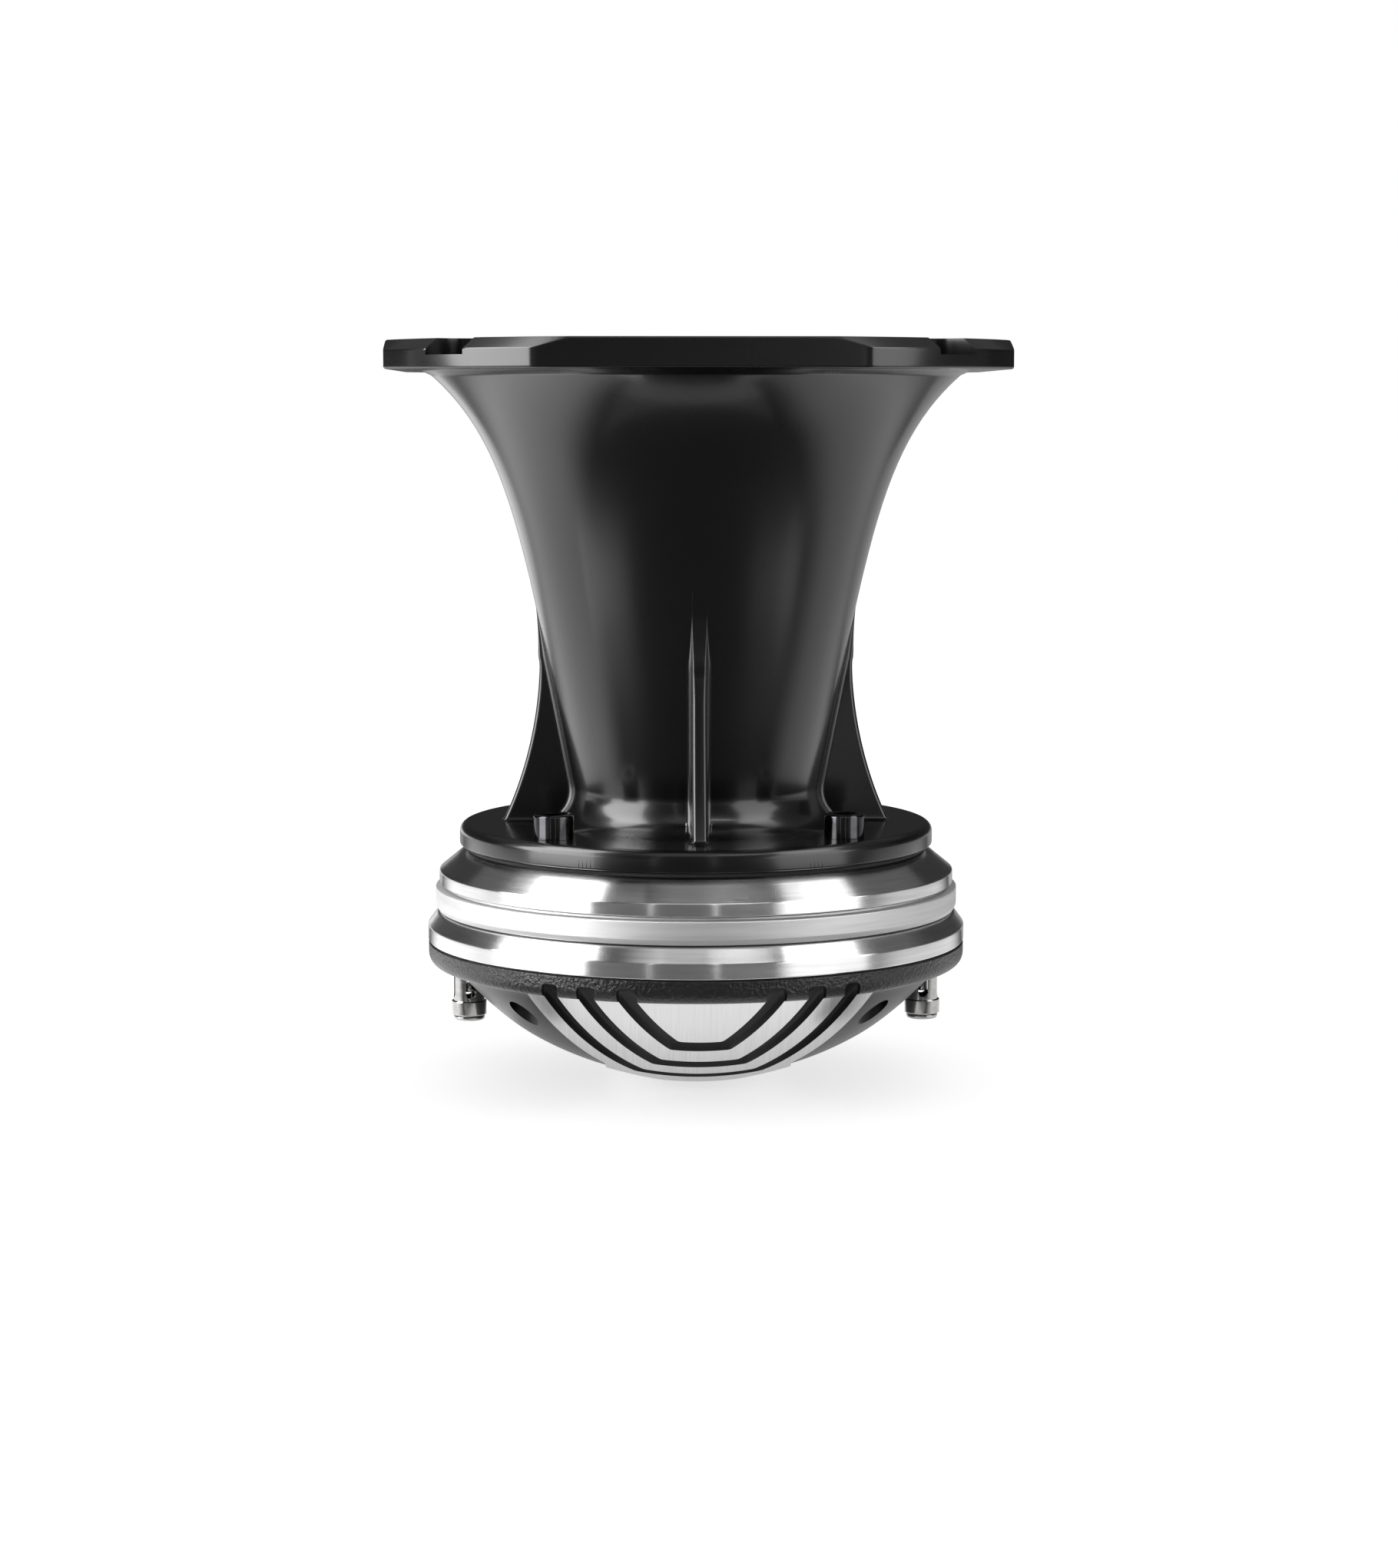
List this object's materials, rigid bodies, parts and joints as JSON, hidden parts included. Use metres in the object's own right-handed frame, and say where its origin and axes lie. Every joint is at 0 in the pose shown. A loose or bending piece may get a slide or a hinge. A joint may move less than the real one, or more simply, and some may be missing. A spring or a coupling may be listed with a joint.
{
  "type": "horn loudspeaker",
  "caption": "Round black cast horn with a ribbed neck and square-cut mouth flange, bolted to a compression driver with turned metal rings, a domed finned rear cover and spring terminals.",
  "frame": {"origin": "centre of the part in plan, at the lowest point of the driver's domed rear cover", "axes": "+Z along the horn's axis from the driver to the mouth, -Y towards the viewer of the picture, the two terminals to -X and +X"},
  "size_m": [0.1532, 0.1532, 0.1892],
  "materials": {
    "horn_paint": "semi-gloss black powder coat on cast aluminium",
    "gasket_fibre": "matt black fibre gasket",
    "black_steel": "black oxide steel, oiled",
    "turned_metal": "bare turned metal with fine lathe lines",
    "satin_metal": "satin bare metal",
    "magnet_coat": "nickel plated sintered magnet",
    "pole_steel": "zinc plated turned steel",
    "black_plastic": "moulded black plastic",
    "cover_paint": "dark grey fine textured coat on cast aluminium",
    "amber_film": "thin amber polyimide film",
    "dome_metal": "pressed titanium foil",
    "copper_wire": "enamelled copper clad wire",
    "grey_felt": "grey felt",
    "bright_nickel": "bright nickel plate"
  },
  "bodies": {
    "horn_and_driver": {"horn_body": "horn_paint", "throat_gasket": "gasket_fibre", "horn_bolt_1": "black_steel", "horn_bolt_2": "black_steel", "horn_bolt_3": "black_steel", "horn_bolt_4": "black_steel", "front_plate": "turned_metal", "mid_ring": "satin_metal", "magnet_ring": "magnet_coat", "rear_ring": "turned_metal", "pole_piece": "pole_steel", "phase_plug": "black_plastic", "surround": "amber_film", "diaphragm_ring": "satin_metal", "diaphragm_screw_1": "black_steel", "diaphragm_screw_2": "black_steel", "diaphragm_screw_3": "black_steel", "diaphragm_screw_4": "black_steel", "rear_cover": "cover_paint", "cover_gasket": "gasket_fibre", "cover_screw_1": "black_steel", "cover_screw_2": "black_steel", "cover_screw_3": "black_steel", "cover_screw_4": "black_steel", "damping_pad": "grey_felt", "terminal_bush_left": "black_plastic", "terminal_nut_left": "bright_nickel", "terminal_post_left": "bright_nickel", "terminal_spring_left": "satin_metal", "solder_tag_left": "bright_nickel", "lead_left": "black_plastic", "terminal_bush_right": "black_plastic", "terminal_nut_right": "bright_nickel", "terminal_post_right": "bright_nickel", "terminal_spring_right": "satin_metal", "solder_tag_right": "bright_nickel", "lead_right": "black_plastic"},
    "diaphragm": {"diaphragm_dome": "dome_metal", "coil_former": "amber_film", "voice_coil": "copper_wire"},
    "terminal_left": {"terminal_sleeve_left": "bright_nickel", "terminal_plug_left": "bright_nickel"},
    "terminal_right": {"terminal_sleeve_right": "bright_nickel", "terminal_plug_right": "bright_nickel"}
  },
  "joints": [
    {"name": "diaphragm_travel", "type": "slide", "parent": "horn_and_driver", "child": "diaphragm", "axis": [0, 0, 1], "range_m": [-0.0005, 0.0005], "stiffness_N_per_m": 12000, "deforming": ["surround"]},
    {"name": "terminal_left_press", "type": "slide", "parent": "horn_and_driver", "child": "terminal_left", "axis": [0, 0, 1], "range_m": [0, 0.002], "stiffness_N_per_m": 1500, "springref_m": -0.002, "deforming": ["terminal_spring_left"]},
    {"name": "terminal_right_press", "type": "slide", "parent": "horn_and_driver", "child": "terminal_right", "axis": [0, 0, 1], "range_m": [0, 0.002], "stiffness_N_per_m": 1500, "springref_m": -0.002, "deforming": ["terminal_spring_right"]}
  ]
}
